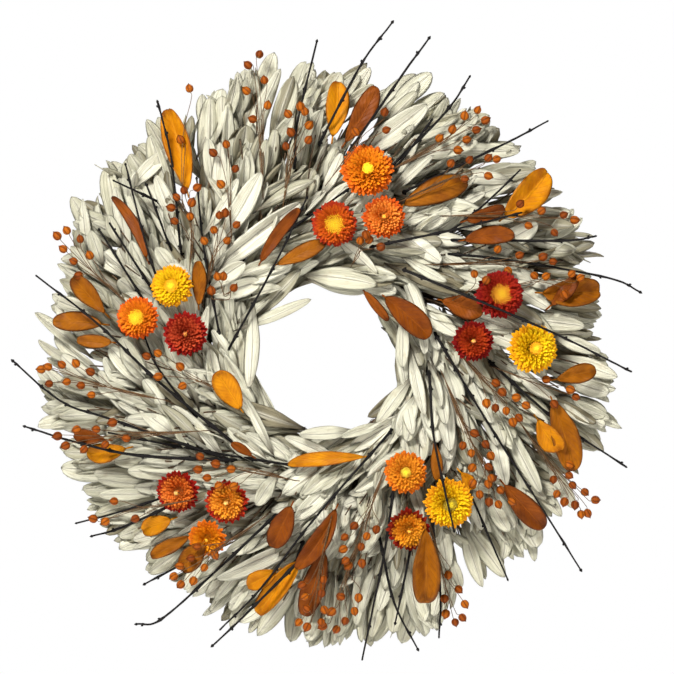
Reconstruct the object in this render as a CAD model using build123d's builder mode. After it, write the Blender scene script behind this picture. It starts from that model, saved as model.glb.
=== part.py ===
from build123d import *
import math
import os

# Harvest door wreath, in millimetres, as it hangs: +Z up, the front faces -Y, the door is behind at +Y.
# The origin is the hook seat, the underside of the top of the wire hanging loop.

# Base ring: five bent vine canes, and the turns of wire that bind the leaf bunches to them.
CANE_RADIUS = 4.5
CANE_SWEEP = 350.0
CANES = [(82, -11.8, 40), (92, -5.8, 150), (102, -11.8, 265), (87, -20.8, 205), (97, -20.8, 320)]
BUNDLE_RADIUS = 92.0
BUNDLE_DEPTH = -14.8
WIRE_TURN_RADIUS = 16.0
WIRE_RADIUS = 0.5

# Hanging loop: a U of wire whose two hooked ends turn on the rearmost cane.
LOOP_WIRE_RADIUS = 0.8
LOOP_HALF_WIDTH = 6.0
LOOP_LEG = 22.0
EYE_RADIUS = 5.8
EYE_SWEEP = 285.0
LOOP_CANE_RADIUS = 92.0
PIVOT_Y = -5.8
PIVOT_Z = -(LOOP_LEG + LOOP_HALF_WIDTH - LOOP_WIRE_RADIUS)
RING_Z = PIVOT_Z - LOOP_CANE_RADIUS

# Grey leaf bunches: a swirl of sectors that fill a domed ring of foliage.
BUNCH_COUNT = 16
BUNCH_INNER_RADIUS = 72.0
BUNCH_SWIRL = 45.0
BUNCH_REACH = [274, 268, 276, 262, 268, 276, 270, 262, 266, 272, 262, 270, 276, 284, 280, 276]
TIPS_PER_BUNCH = 3
TIP_NOTCH = 18.0
BUNCH_GAP = 0.4
BUNCH_REAR = -27.0
RIM_FRONT = -37.0
RIM_SLOPE = 0.3
CORE_FRONT = -48.0
CORE_SLOPE = 0.7
DOME_OUTER_RADIUS = 292.0
DOME_PEAK_RADIUS = 140.0
DOME_PEAK = -70.0
DOME_RIM = -36.0

# Strawflower heads: name, place across and up from the ring's centre, diameter.
FLOWERS = [
    ("strawflower_top_amber", 40, 177, 50),
    ("strawflower_top_red", 9, 128, 43),
    ("strawflower_top_orange", 56, 134, 42),
    ("strawflower_left_yellow", -145, 68, 40),
    ("strawflower_left_orange", -177, 38, 40),
    ("strawflower_left_red", -133, 23, 43),
    ("strawflower_right_red", 165, 60, 45),
    ("strawflower_right_crimson", 141, 16, 40),
    ("strawflower_right_yellow", 196, 9, 47),
    ("strawflower_bottom_amber", 77, -109, 41),
    ("strawflower_bottom_yellow", 117, -137, 47),
    ("strawflower_bottom_orange", 79, -162, 41),
    ("strawflower_low_left_red", -139, -126, 41),
    ("strawflower_low_left_rust", -93, -136, 42),
    ("strawflower_low_left_gold", -111, -170, 36),
]
HEAD_HEIGHT = 0.42
HEAD_TILT = 14.0
GLUE_HEIGHT = 4.0

# Loose accents, in the front view from the ring's centre: root, any bends, tip.
PRESERVED_LEAVES = {
    "golden": [
        ((-130, 160), (-145, 237), 25), ((5, 212), (15, 265), 22), ((170, 135), (217, 172), 29),
        ((-80, -50), (-100, -12), 23), ((-190, -86), (-231, -94), 19), ((-26, -194), (-62, -244), 20),
        ((-46, -204), (-76, -217), 18), ((38, -94), (-35, -98), 14), ((-147, -155), (-176, -163), 18),
        ((203, -58), (220, -90), 22), ((130, -108), (142, -124), 14),
    ],
    "amber": [
        ((75, 145), (137, 170), 25), ((208, 64), (262, 60), 27), ((-210, 42), (-240, 76), 19),
        ((-213, 31), (-260, 37), 19), ((-204, 14), (-236, 17), 13), ((-120, 50), (-120, 92), 14),
        ((-46, 88), (0, 110), 16), ((221, -20), (259, -14), 18), ((217, -42), (238, -106), 26),
        ((97, -162), (96, -236), 26), ((-114, -176), (-136, -201), 21), ((-130, -170), (-165, -190), 14),
        ((104, -80), (108, -116), 12),
    ],
    "rust": [
        ((18, 206), (50, 256), 21), ((135, 130), (172, 140), 14), ((133, 112), (180, 120), 18),
        ((216, 50), (243, 76), 14), ((58, 60), (100, 22), 24), ((38, 64), (60, 36), 9),
        ((112, 58), (150, 44), 22), ((-62, 92), (-28, 145), 12), ((-170, 95), (-196, 160), 11),
        ((-210, -80), (-240, -74), 14), ((-70, -94), (-88, -80), 9), ((-29, -142), (-50, -180), 22),
        ((12, -144), (-20, -204), 19), ((2, -186), (-19, -246), 22), ((172, -120), (210, -166), 22),
    ],
}
LEAF_THICKNESS = 1.0
LEAF_LIFT = 5.0

BLACK_TWIGS = [
    [(0, 215), (35, 280), (65, 321)], [(25, 200), (75, 270), (100, 304)],
    [(60, 180), (115, 235), (140, 271)], [(65, 178), (103, 228)],
    [(86, 164), (172, 205), (214, 227)], [(125, 125), (153, 147), (188, 180)],
    [(55, 108), (130, 124), (188, 139)], [(132, 113), (228, 112), (260, 116)],
    [(125, 99), (181, 93), (272, 76), (302, 62)], [(87, 79), (209, 27), (290, -13)],
    [(165, -10), (223, -61), (290, -105)], [(110, 16), (150, -52), (246, -204)],
    [(134, -117), (176, -214)], [(100, -24), (104, -80), (123, -165)],
    [(102, -150), (111, -225), (110, -270)], [(84, -174), (67, -254)],
    [(54, -180), (66, -234), (89, -280)], [(66, -122), (56, -190), (35, -288)],
    [(-24, -184), (-42, -229)], [(-24, -193), (-60, -229), (-86, -254), (-108, -274)],
    [(57, -77), (-10, -154), (-61, -221), (-99, -260)], [(-51, -154), (-101, -201), (-156, -249), (-181, -254)],
    [(-132, -196), (-174, -218)], [(-147, -141), (-192, -161), (-223, -170)],
    [(-153, -133), (-196, -147), (-239, -158)], [(-96, -98), (-180, -93), (-238, -80), (-286, -65)],
    [(-24, -104), (-122, -88), (-208, -71)], [(-105, -93), (-206, -58), (-252, -41), (-298, -2)],
    [(-129, -50), (-160, -9), (-173, 21)], [(-86, -83), (-161, -21), (-216, 32), (-276, 79)],
    [(-177, 60), (-218, 124)], [(-166, 66), (-206, 130)], [(-163, 84), (-175, 124), (-190, 185)],
    [(-150, 110), (-170, 165)], [(-167, 153), (-204, 170)], [(-139, 110), (-147, 190), (-160, 245)],
    [(-102, 27), (-116, 104), (-123, 173)], [(-89, 15), (-50, 87), (-18, 154)],
    [(-29, 189), (-26, 227), (-7, 305)], [(-33, 123), (35, 170)],
]
TWIG_RADIUS = 1.4
NODE_RADIUS = 1.7
NODE_GAP = 0.3
TWIG_ROOT_SUNK = 10.0
TWIG_TIP_DEPTHS = [-62, -78, -54, -70]

# Flax sprigs: root, tip and how many seed pods each carries.
FLAX_SPRIGS = [
    ((-60, 160), (-63, 288), 6), ((-40, 150), (-24, 236), 7), ((-90, 115), (-94, 200), 4),
    ((-137, 150), (-130, 254), 2), ((-130, 85), (-134, 156), 7), ((-116, 62), (-96, 134), 6),
    ((-186, 48), (-254, 114), 7), ((-114, 30), (-98, 74), 4), ((6, 172), (54, 230), 3),
    ((62, 180), (150, 226), 8), ((72, 150), (160, 188), 6), ((120, 136), (234, 132), 6),
    ((100, 90), (214, 92), 6), ((166, 66), (240, 76), 4), ((26, 90), (40, 110), 4),
    ((124, 56), (150, 72), 2), ((-158, -40), (-268, -12), 9), ((-120, -70), (-250, -74), 8),
    ((-80, -40), (-166, 0), 5), ((-34, -116), (-116, -106), 7), ((-130, -136), (-216, -152), 4),
    ((-62, -155), (-140, -205), 8), ((6, -155), (-16, -252), 9), ((58, -106), (24, -194), 9),
    ((34, -175), (12, -256), 7), ((100, -155), (124, -250), 8), ((115, -20), (154, -116), 10),
    ((124, 10), (182, -54), 9), ((166, -10), (236, -36), 4), ((186, -60), (250, -146), 11),
    ((140, -80), (164, -136), 6),
]
STEM_RADIUS = 0.6
POD_RADIUS = 3.9

# Sixths of the ring, clockwise from the top as seen from the front.
SECTORS = ["top", "upper_right", "lower_right", "bottom", "lower_left", "upper_left"]
CLEARANCE = 0.8
NUDGE = 1.5

ring_axis = Axis((0, 0, RING_Z), (0, 1, 0))
section_plane = Plane(origin=(0, 0, RING_Z), x_dir=(1, 0, 0), z_dir=(0, 0, 1))
front_plane = Plane(origin=(0, 0, RING_Z), x_dir=(1, 0, 0), z_dir=(0, -1, 0))
taken = []


def dome(radius):
    """Depth of the foliage's front surface at a distance from the ring's axis."""
    if radius > DOME_PEAK_RADIUS:
        run = DOME_OUTER_RADIUS - DOME_PEAK_RADIUS
    else:
        run = DOME_PEAK_RADIUS
    share = min(1.0, abs(radius - DOME_PEAK_RADIUS) / run)
    return DOME_RIM + (DOME_PEAK - DOME_RIM) * (1 - share * share)


def clockwise(angle, radius):
    """Front-view point at an angle clockwise from the top."""
    turn = math.radians(angle)
    return (radius * math.sin(turn), radius * math.cos(turn))


def front_point(spot, depth):
    """A front-view point from the ring's centre, at a depth."""
    return Vector(spot.X, depth, spot.Y + RING_Z)


def in_front(spot, lift):
    """A front-view point, stood a little in front of the foliage."""
    x, z = spot
    return Vector(x, dome(math.hypot(x, z)) - lift, z + RING_Z)


def sector_name(spot):
    """The sixth of the ring that a front-view point is in."""
    angle = math.degrees(math.atan2(spot[0], spot[1])) % 360
    return SECTORS[int(((angle + 30) % 360) // 60)]


def segment_gap(first, second):
    """Shortest distance between two rods, each (start, end, radius), surface to surface."""
    a, b, first_radius = first
    c, d, second_radius = second
    u = b - a
    v = d - c
    w = a - c
    uu = u.dot(u)
    vv = v.dot(v)
    uv = u.dot(v)
    s = 0.0
    t = 0.0
    spread = uu * vv - uv * uv
    if spread > 1e-6:
        s = min(1.0, max(0.0, (uv * v.dot(w) - vv * u.dot(w)) / spread))
    if vv > 1e-6:
        t = min(1.0, max(0.0, (uv * s + v.dot(w)) / vv))
    if uu > 1e-6:
        s = min(1.0, max(0.0, (uv * t - u.dot(w)) / uu))
    return (w + u * s - v * t).length - first_radius - second_radius


def settle(rods):
    """Brings an accent forward until it is clear of all those already placed, and gives the shift."""
    shift = Vector(0, 0, 0)
    while True:
        moved = [(start + shift, end + shift, radius) for start, end, radius in rods]
        if all(segment_gap(rod, other) > CLEARANCE for rod in moved for other in taken):
            break
        shift = shift + Vector(0, -NUDGE, 0)
    taken.extend(moved)
    return shift


def save(name, solids):
    """Writes one node, either one solid or a group of separate ones."""
    if len(solids) == 1:
        piece = solids[0]
    else:
        piece = Compound(children=solids)
    piece.label = name
    export_step(piece, f"parts/{name}.step")


def build_cane(radius, depth, start):
    """One bent cane of the base ring, not quite closed."""
    turned = section_plane.rotated((0, start, 0))
    with BuildPart() as cane:
        with BuildSketch(turned):
            with Locations((radius, depth)):
                Circle(CANE_RADIUS)
        revolve(axis=ring_axis, revolution_arc=CANE_SWEEP)
    return cane.part


def build_wire_turn(angle):
    """One turn of binding wire round the canes and the stems on them."""
    x, z = clockwise(angle, BUNDLE_RADIUS)
    centre = Vector(x, BUNDLE_DEPTH, z + RING_Z)
    out_x, out_z = clockwise(angle, 1.0)
    out_dir = (out_x, 0, out_z)
    turn_plane = Plane(origin=centre, x_dir=out_dir, z_dir=(out_z, 0, -out_x))
    turn_axis = Axis(centre, turn_plane.z_dir)
    wire_plane = Plane(origin=centre, x_dir=out_dir, z_dir=turn_plane.y_dir)
    with BuildPart() as turn:
        with BuildSketch(wire_plane):
            with Locations((WIRE_TURN_RADIUS, 0)):
                Circle(WIRE_RADIUS)
        revolve(axis=turn_axis)
    return turn.part


def eye_point(side, angle):
    """A point of the hooked end round the cane, from its rear side down, forward and up."""
    turn = math.radians(angle)
    y = PIVOT_Y + EYE_RADIUS * math.cos(turn)
    z = PIVOT_Z - EYE_RADIUS * math.sin(turn)
    return (side * LOOP_HALF_WIDTH, y, z)


def build_hanging_loop():
    """The U of wire that the hook goes through, with an open eye at each end."""
    leg_top = PIVOT_Z + LOOP_LEG
    with BuildPart() as loop:
        with BuildLine() as path:
            ThreePointArc(eye_point(-1, EYE_SWEEP), eye_point(-1, EYE_SWEEP / 2), eye_point(-1, 0))
            Line(eye_point(-1, 0), (-LOOP_HALF_WIDTH, 0, leg_top))
            ThreePointArc(
                (-LOOP_HALF_WIDTH, 0, leg_top),
                (0, 0, leg_top + LOOP_HALF_WIDTH),
                (LOOP_HALF_WIDTH, 0, leg_top),
            )
            Line((LOOP_HALF_WIDTH, 0, leg_top), eye_point(1, 0))
            ThreePointArc(eye_point(1, 0), eye_point(1, EYE_SWEEP / 2), eye_point(1, EYE_SWEEP))
        with BuildSketch(Plane(origin=path.line @ 0, z_dir=path.line % 0)):
            Circle(LOOP_WIRE_RADIUS)
        sweep(path=path.line)
    return loop.part


def build_bunch(number, reach):
    """One bunch of grey leaves: a leaning sector of the domed ring, with pointed tips."""
    width = 360.0 / BUNCH_COUNT
    inner = BUNCH_INNER_RADIUS
    outer = reach - TIP_NOTCH
    inner_gap = math.degrees(BUNCH_GAP / inner)
    outer_gap = math.degrees(BUNCH_GAP / outer)
    start = number * width
    swept = start + BUNCH_SWIRL
    outline = [clockwise(start + inner_gap, inner), clockwise(swept + outer_gap, outer)]
    for tip in range(TIPS_PER_BUNCH):
        outline.append(clockwise(swept + (tip + 0.5) / TIPS_PER_BUNCH * width, reach))
        if tip + 1 < TIPS_PER_BUNCH:
            outline.append(clockwise(swept + (tip + 1) / TIPS_PER_BUNCH * width, outer))
    outline.append(clockwise(swept + width - outer_gap, outer))
    outline.append(clockwise(start + width - inner_gap, inner))
    rim_out = Vector(*clockwise(swept + width / 2, 1.0))
    core_in = Vector(*clockwise(start + width / 2, -1.0))
    rim_plane = Plane(
        origin=front_point(rim_out * reach, RIM_FRONT),
        z_dir=(rim_out.X * RIM_SLOPE, -1, rim_out.Y * RIM_SLOPE),
    )
    core_plane = Plane(
        origin=front_point(core_in * -BUNCH_INNER_RADIUS, CORE_FRONT),
        z_dir=(core_in.X * CORE_SLOPE, -1, core_in.Y * CORE_SLOPE),
    )
    with BuildPart() as bunch:
        with BuildSketch(front_plane.offset(-BUNCH_REAR)):
            Polygon(*outline, align=None)
        extrude(amount=BUNCH_REAR - DOME_PEAK)
        split(bisect_by=rim_plane, keep=Keep.BOTTOM)
        split(bisect_by=core_plane, keep=Keep.BOTTOM)
    return bunch.part


def flower_plane(x, z):
    """Plane on the foliage's surface under a flower head, facing out along the flower."""
    radius = math.hypot(x, z)
    lean = math.sin(math.radians(HEAD_TILT)) * (radius - DOME_PEAK_RADIUS) / 60
    facing = Vector(lean * x / radius, -1, lean * z / radius).normalized()
    return Plane(origin=in_front((x, z), 2), x_dir=(1, 0, facing.X), z_dir=facing)


def build_head(plane, diameter):
    """A strawflower head: narrow underneath, widest a third of the way up, domed on top."""
    radius = diameter / 2
    height = HEAD_HEIGHT * diameter
    section = Plane(origin=plane.origin, x_dir=plane.x_dir, z_dir=-plane.y_dir)
    with BuildPart() as head:
        with BuildSketch(section):
            with BuildLine():
                Polyline(
                    (0, GLUE_HEIGHT),
                    (0.35 * radius, GLUE_HEIGHT),
                    (radius, GLUE_HEIGHT + 0.35 * height),
                    (0.93 * radius, GLUE_HEIGHT + 0.62 * height),
                    (0.72 * radius, GLUE_HEIGHT + 0.84 * height),
                    (0.4 * radius, GLUE_HEIGHT + 0.97 * height),
                    (0, GLUE_HEIGHT + height),
                    close=True,
                )
            make_face()
        revolve(axis=Axis(plane.origin, plane.z_dir))
    return head.part


def build_glue(plane, diameter):
    """The dab of hot glue under a flower head."""
    with BuildPart() as dab:
        with BuildSketch(plane.offset(GLUE_HEIGHT)):
            Circle(0.3 * diameter / 2)
        with BuildSketch(plane.offset(-GLUE_HEIGHT)):
            Circle(0.42 * diameter / 2)
        loft()
    return dab.part


def take_head(plane, diameter):
    """Marks the space of a flower head as taken."""
    radius = diameter / 2
    height = HEAD_HEIGHT * diameter
    centre = plane.origin + plane.z_dir * (GLUE_HEIGHT + 0.5 * height)
    reach = radius - 0.5 * height
    for direction in (plane.x_dir, plane.y_dir):
        taken.append((centre - direction * reach, centre + direction * reach, 0.5 * height + 1))


def build_preserved_leaf(root, tip, width):
    """A flat preserved leaf, widest towards its rounded tip, and the rods that fill it."""
    start = in_front(root, LEAF_LIFT)
    end = in_front(tip, LEAF_LIFT)
    length = (end - start).length
    along = (end - start).normalized()
    across = along.cross(Vector(0, 1, 0)).normalized()
    rods = []
    stations = max(3, round(length / 7))
    for station in range(stations):
        share = (station + 0.5) / stations
        half = 0.5 * width * math.sin(math.pi * min(1.0, 0.15 + 0.75 * share))
        middle = start + along * (share * length)
        rods.append((middle - across * half, middle + across * half, 1.5))
    start = start + settle(rods)
    leaf_plane = Plane(origin=start, x_dir=along, z_dir=along.cross(across))
    half = width / 2
    with BuildPart() as leaf:
        with BuildSketch(leaf_plane):
            with BuildLine():
                Line((0, -0.8), (0, 0.8))
                Spline(
                    (0, 0.8),
                    (0.28 * length, 0.62 * half),
                    (0.62 * length, half),
                    (0.9 * length, 0.62 * half),
                    (length, 0),
                    tangents=[(1, 0.3), (0, -1)],
                )
                Spline(
                    (length, 0),
                    (0.9 * length, -0.62 * half),
                    (0.62 * length, -half),
                    (0.28 * length, -0.62 * half),
                    (0, -0.8),
                    tangents=[(0, -1), (-1, 0.3)],
                )
            make_face()
        extrude(amount=LEAF_THICKNESS / 2, both=True)
    return leaf.part


def build_black_twig(bends, tip_depth):
    """A thin bare twig with a knot at each bend, pushed into the foliage at its root."""
    root_depth = dome(math.hypot(*bends[0])) + TWIG_ROOT_SUNK
    run = [math.dist(bends[0], bend) for bend in bends]
    points = []
    for bend, distance in zip(bends, run):
        depth = root_depth + (tip_depth - root_depth) * math.sin(0.5 * math.pi * distance / run[-1])
        points.append(Vector(bend[0], depth, bend[1] + RING_Z))
    shift = settle([(a, b, TWIG_RADIUS) for a, b in zip(points, points[1:])])
    points = [point + shift for point in points]
    with BuildPart() as twig:
        for start, end in zip(points, points[1:]):
            along = (end - start).normalized()
            with BuildSketch(Plane(origin=start + along * NODE_GAP, z_dir=along)):
                Circle(TWIG_RADIUS)
            extrude(amount=(end - start).length - 2 * NODE_GAP)
        for before, bend, after in zip(points, points[1:], points[2:]):
            with Locations(Plane(origin=bend, z_dir=after - before)):
                Sphere(NODE_RADIUS)
    return twig.part


def flax_layout(root, tip, pods):
    """The stem's two ends, and each pod's branch: where it leaves the stem and where its pod starts."""
    start = in_front(root, -3)
    end = in_front(tip, 13)
    along = (end - start).normalized()
    length = (end - start).length
    across = along.cross(Vector(0, 1, 0)).normalized()
    branches = []
    for pod in range(pods - 1):
        share = 0.42 + 0.5 * pod / max(1, pods - 1)
        side = (-1) ** pod * (7 + 4 * math.sin(2.4 * pod + length))
        rise = 3 * math.sin(3.7 * pod + length)
        leave = start + along * (share * length)
        base = leave + along * (9 + abs(side) / 2) + across * side + Vector(0, -2 - rise, 0)
        branches.append((leave, base))
    return start, end, branches


def build_pod(base, direction):
    """A round seed pod that just touches the end of its branch."""
    with BuildPart() as pod:
        with Locations(base + direction * POD_RADIUS):
            Sphere(POD_RADIUS)
    return pod.part


def build_flax_sprig(root, tip, pods):
    """A branched stem and its pods, as separate solids that touch."""
    start, end, branches = flax_layout(root, tip, pods)
    along = (end - start).normalized()
    ends = [(base, (base - leave).normalized()) for leave, base in branches] + [(end, along)]
    rods = [(start, end, STEM_RADIUS)]
    for base, direction in ends:
        middle = base + direction * POD_RADIUS
        rods.append((middle, middle, POD_RADIUS))
    shift = settle(rods)
    with BuildPart() as stem:
        with BuildSketch(Plane(origin=start + shift, z_dir=along)):
            Circle(STEM_RADIUS)
        extrude(amount=(end - start).length)
        for leave, base in branches:
            with BuildSketch(Plane(origin=leave + shift, z_dir=base - leave)):
                Circle(STEM_RADIUS)
            extrude(amount=(base - leave).length)
    solids = [stem.part]
    for base, direction in ends:
        solids.append(build_pod(base + shift, direction))
    return solids


os.makedirs("parts", exist_ok=True)

for number, (radius, depth, start) in enumerate(CANES, start=1):
    save(f"base_cane_{number}", [build_cane(radius, depth, start)])

turn_angles = [(number + 0.5) * 360 / BUNCH_COUNT for number in range(BUNCH_COUNT)]
save("binding_wire", [build_wire_turn(angle) for angle in turn_angles])
save("hanging_loop", [build_hanging_loop()])

for number, reach in enumerate(BUNCH_REACH):
    save(f"grey_leaf_bunch_{number + 1:02d}", [build_bunch(number, reach)])

dabs = []
for name, x, z, diameter in FLOWERS:
    plane = flower_plane(x, z)
    save(name, [build_head(plane, diameter)])
    dabs.append(build_glue(plane, diameter))
    take_head(plane, diameter)
save("glue_dabs", dabs)

groups = {}
for tone, leaves in PRESERVED_LEAVES.items():
    for root, tip, width in leaves:
        side = "right" if tip[0] > 0 else "left"
        leaf = build_preserved_leaf(root, tip, width)
        groups.setdefault(f"{tone}_leaves_{side}", []).append(leaf)

for number, bends in enumerate(BLACK_TWIGS):
    twig = build_black_twig(bends, TWIG_TIP_DEPTHS[number % len(TWIG_TIP_DEPTHS)])
    groups.setdefault(f"black_twigs_{sector_name(bends[-1])}", []).append(twig)

for root, tip, pods in FLAX_SPRIGS:
    groups.setdefault(f"flax_sprigs_{sector_name(tip)}", []).extend(build_flax_sprig(root, tip, pods))

for name, solids in groups.items():
    save(name, solids)
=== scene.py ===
"""Looks of the harvest door wreath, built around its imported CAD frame. Metres, +Z up, front at -Y."""
import math

import bpy
import numpy as np
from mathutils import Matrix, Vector


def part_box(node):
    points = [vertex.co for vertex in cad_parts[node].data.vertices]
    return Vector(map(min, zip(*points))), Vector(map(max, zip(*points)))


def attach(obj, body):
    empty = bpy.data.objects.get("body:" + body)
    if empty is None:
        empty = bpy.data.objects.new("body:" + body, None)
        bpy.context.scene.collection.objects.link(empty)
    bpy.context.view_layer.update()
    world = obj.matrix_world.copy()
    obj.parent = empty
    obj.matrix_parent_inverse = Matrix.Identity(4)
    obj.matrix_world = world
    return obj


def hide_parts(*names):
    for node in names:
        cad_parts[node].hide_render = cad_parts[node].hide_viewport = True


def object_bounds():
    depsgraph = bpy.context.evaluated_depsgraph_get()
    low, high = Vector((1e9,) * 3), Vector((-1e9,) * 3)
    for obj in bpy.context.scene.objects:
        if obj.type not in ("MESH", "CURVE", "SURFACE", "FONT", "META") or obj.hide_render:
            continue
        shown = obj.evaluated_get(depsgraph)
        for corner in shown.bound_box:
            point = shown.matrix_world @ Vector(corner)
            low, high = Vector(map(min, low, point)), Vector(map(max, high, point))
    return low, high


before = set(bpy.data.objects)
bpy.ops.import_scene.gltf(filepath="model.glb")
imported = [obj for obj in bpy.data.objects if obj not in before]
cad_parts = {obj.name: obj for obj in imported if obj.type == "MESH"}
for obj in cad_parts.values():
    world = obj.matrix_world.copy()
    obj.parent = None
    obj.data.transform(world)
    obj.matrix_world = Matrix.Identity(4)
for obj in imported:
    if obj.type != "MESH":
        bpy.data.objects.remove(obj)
CAD_LOW, CAD_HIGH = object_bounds()
MM = 0.001
UP = np.array([0.0, 0.0, 1.0])
FRONT = np.array([0.0, -1.0, 0.0])
NODES = sorted(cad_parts)
WREATH = "wreath"

# The ring's centre, from the cane that the hanging loop turns on.
cane_low, cane_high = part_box("base_cane_2")
CENTRE = np.array([(cane_low.x + cane_high.x) / 2, 0.0, (cane_low.z + cane_high.z) / 2])
bunch_low, bunch_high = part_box("grey_leaf_bunch_01")
DOME_FRONT = bunch_low.y
DOME_BACK = bunch_high.y


# ---- frame geometry

def nodes_named(start):
    """The CAD nodes whose names start so, in order."""
    return [name for name in NODES if name.startswith(start)]


def node_points(name):
    """A CAD node's vertices at rest."""
    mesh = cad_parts[name].data
    points = np.zeros(len(mesh.vertices) * 3)
    mesh.vertices.foreach_get("co", points)
    return points.reshape(-1, 3)


def loose_parts(name):
    """The separate solids of a CAD node, each as its distinct vertices."""
    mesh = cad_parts[name].data
    points = node_points(name)
    _, first, merged = np.unique(np.round(points / 1e-5).astype(int), axis=0,
                                 return_index=True, return_inverse=True)
    merged = merged.ravel()
    edges = np.zeros(len(mesh.edges) * 2, int)
    mesh.edges.foreach_get("vertices", edges)
    parent = list(range(len(first)))

    def root(item):
        while parent[item] != item:
            parent[item] = parent[parent[item]]
            item = parent[item]
        return item

    for a, b in merged[edges].reshape(-1, 2):
        parent[root(a)] = root(b)
    groups = {}
    for item in range(len(first)):
        groups.setdefault(root(item), []).append(first[item])
    parts = [points[members] for members in groups.values()]
    return sorted(parts, key=lambda part: tuple(np.round(part.mean(0), 5)))


def box_middle(points):
    """The middle of the box round a cloud of points."""
    return (points.max(0) + points.min(0)) / 2


def largest_side(points):
    """The largest side of the box round a cloud of points."""
    return np.ptp(points, axis=0).max()


def main_axes(points):
    """Middle and the three axes of a cloud of points, longest first."""
    _, _, axes = np.linalg.svd(points - points.mean(0), full_matrices=False)
    return box_middle(points), axes


def towards_front(axis):
    """An axis, turned round where it points to the back."""
    return axis if axis[1] < 0 else -axis


def ring_radius(point):
    """Distance from the ring's axis."""
    return math.hypot(point[0] - CENTRE[0], point[2] - CENTRE[2])


def ring_point(angle, radius, depth):
    """A point at an angle clockwise from the top, seen from the front."""
    return CENTRE + np.array([radius * math.sin(angle), depth, radius * math.cos(angle)])


def polyline_of(points):
    """The bends of a thin rod, from its root near the ring to its tip."""
    _, axes = main_axes(points)
    along = (points - points.mean(0)) @ axes[0]
    order = np.argsort(along)
    cuts = np.where(np.diff(along[order]) > 5 * MM)[0] + 1
    line = np.array([points[group].mean(0) for group in np.split(order, cuts)])
    if ring_radius(line[0]) > ring_radius(line[-1]):
        line = line[::-1]
    return line


# ---- mesh building

def unit(vector):
    """The vector, one long."""
    return vector / max(1e-12, np.linalg.norm(vector))


def spoke(turn, side, other):
    """A direction in the plane of two others, turned from the first towards the second."""
    return math.cos(turn) * side + math.sin(turn) * other


class Pile:
    """Collects verts, faces and point attributes for one piece."""

    def __init__(self):
        self.verts = []
        self.faces = []
        self.values = {}
        self.count = 0

    def add(self, verts, faces, **values):
        """Adds a closed shape, with a value or a row of values for each named attribute."""
        size = len(verts)
        for name, value in values.items():
            column = np.broadcast_to(np.asarray(value, float), (size,))
            self.values.setdefault(name, []).append((self.count, column))
        self.verts.append(np.asarray(verts, float))
        self.faces.extend([[index + self.count for index in face] for face in faces])
        self.count += size

    def build(self, name, material):
        """Makes the piece, on the wreath's body."""
        mesh = bpy.data.meshes.new(name)
        mesh.from_pydata(np.concatenate(self.verts).tolist(), [], self.faces)
        for key, chunks in self.values.items():
            column = np.zeros(self.count, np.float32)
            for start, part in chunks:
                column[start:start + len(part)] = part
            attribute = mesh.attributes.new(key, "FLOAT", "POINT")
            attribute.data.foreach_set("value", column)
        mesh.polygons.foreach_set("use_smooth", [True] * len(mesh.polygons))
        mesh.materials.append(material)
        piece = bpy.data.objects.new(name, mesh)
        bpy.context.scene.collection.objects.link(piece)
        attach(piece, WREATH)
        return piece


def smooth_line(points, count):
    """A Catmull-Rom line through the points, evenly sampled."""
    points = np.asarray(points, float)
    padded = np.vstack([2 * points[0] - points[1], points, 2 * points[-1] - points[-2]])
    samples = []
    for place in np.linspace(0, len(points) - 1 - 1e-9, count):
        span = int(place)
        t = place - span
        p0, p1, p2, p3 = padded[span:span + 4]
        samples.append(0.5 * (2 * p1 + (p2 - p0) * t + (2 * p0 - 5 * p1 + 4 * p2 - p3) * t * t
                              + (3 * p1 - p0 - 3 * p2 + p3) * t ** 3))
    return np.array(samples)


def round_faces(rings, sides):
    """Faces of a closed round solid: its rings of points come first, then its start and its end."""
    faces = []
    for row in range(rings - 1):
        for k in range(sides):
            a, b = row * sides + k, row * sides + (k + 1) % sides
            faces.append([a, b, b + sides, a + sides])
    start, last = rings * sides, (rings - 1) * sides
    for k in range(sides):
        faces.append([start, (k + 1) % sides, k])
        faces.append([start + 1, last + k, last + (k + 1) % sides])
    return faces


def tube(line, radii, sides):
    """A closed round tube along a line, with a radius at each of its points."""
    line = np.asarray(line, float)
    tangents = np.gradient(line, axis=0)
    side = unit(np.cross(tangents[0], UP + 0.3 * FRONT))
    verts = []
    turns = np.linspace(0, 2 * math.pi, sides, endpoint=False)
    for point, tangent, radius in zip(line, tangents, radii):
        tangent = unit(tangent)
        side = unit(side - tangent * side.dot(tangent))
        other = np.cross(tangent, side)
        ring = np.outer(np.cos(turns), side) + np.outer(np.sin(turns), other)
        verts.append(point + radius * ring)
    verts.append(line[:1] - unit(tangents[0]) * radii[0] * 0.4)
    verts.append(line[-1:] + unit(tangents[-1]) * radii[-1] * 0.4)
    return np.concatenate(verts), round_faces(len(line), sides)


def shell_faces(rows, columns):
    """Faces of a closed thin shell over a grid; the rim's points are shared by its two sides."""
    under = np.full((rows, columns), -1)
    under[1:-1, 1:-1] = rows * columns + np.arange((rows - 2) * (columns - 2)).reshape(rows - 2, -1)
    over = np.arange(rows * columns).reshape(rows, columns)
    under = np.where(under < 0, over, under)
    top = np.stack([over[:-1, :-1], over[:-1, 1:], over[1:, 1:], over[1:, :-1]], -1).reshape(-1, 4)
    low = np.stack([under[:-1, :-1], under[1:, :-1], under[1:, 1:], under[:-1, 1:]], -1).reshape(-1, 4)
    return np.concatenate([top, low]).tolist()


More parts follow.
